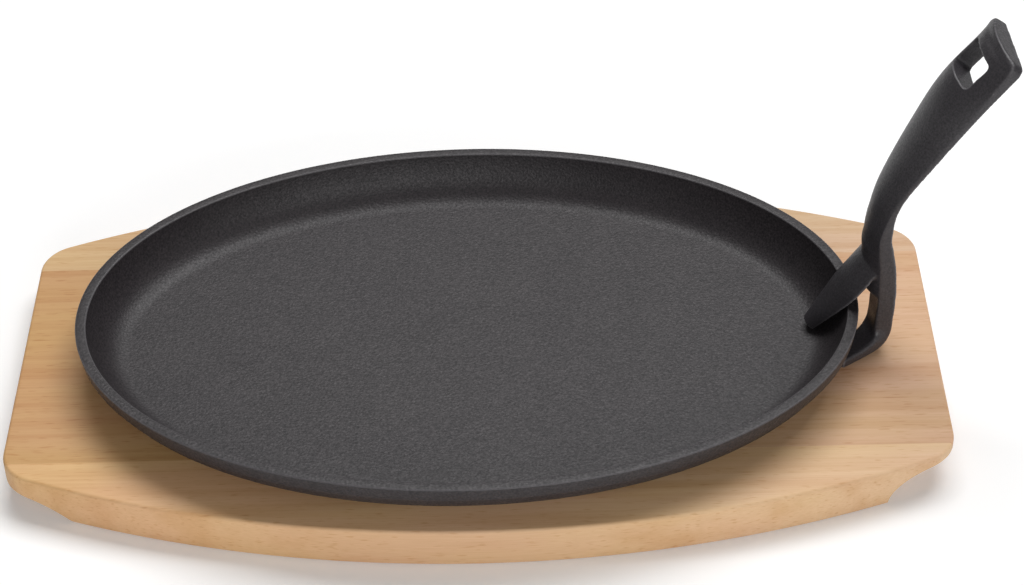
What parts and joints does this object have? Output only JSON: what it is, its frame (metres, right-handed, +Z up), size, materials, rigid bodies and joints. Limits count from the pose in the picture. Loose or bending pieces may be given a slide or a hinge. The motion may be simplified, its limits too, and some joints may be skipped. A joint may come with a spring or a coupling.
{
  "type": "sizzle platter",
  "caption": "Oval cast-iron sizzle pan standing in a recess of a bow-sided wooden board, with a loose domed iron gripper hooked over the rim at one end.",
  "frame": {"origin": "centre of the board's underside, on the surface that the board stands on", "axes": "+Z up; +X along the board's length towards the end with the gripper; +Y to the rear, away from the picture's viewer"},
  "size_m": [0.3493, 0.1904, 0.142],
  "materials": {
    "beech_front": "sanded and lightly oiled beech, the yellowest stave",
    "beech_middle": "sanded and lightly oiled beech with fine straight grain",
    "beech_rear": "sanded and lightly oiled beech",
    "pan_iron": "seasoned black cast iron, fine grain from the mould, rim worn smoother",
    "gripper_iron": "seasoned black cast iron, smoother than the pan, with a soft sheen"
  },
  "bodies": {
    "board": {"board_stave_front": "beech_front", "board_stave_middle": "beech_middle", "board_stave_rear": "beech_rear"},
    "pan": {"pan": "pan_iron"},
    "gripper": {"gripper": "gripper_iron"}
  },
  "joints": [
    {"name": "pan_lift", "type": "slide", "parent": "board", "child": "pan", "axis": [0, 0, 1], "range_m": [0, 0.1]},
    {"name": "gripper_lift", "type": "slide", "parent": "pan", "child": "gripper", "axis": [0.5439, 0.028, 0.8387], "range_m": [0, 0.07]}
  ]
}
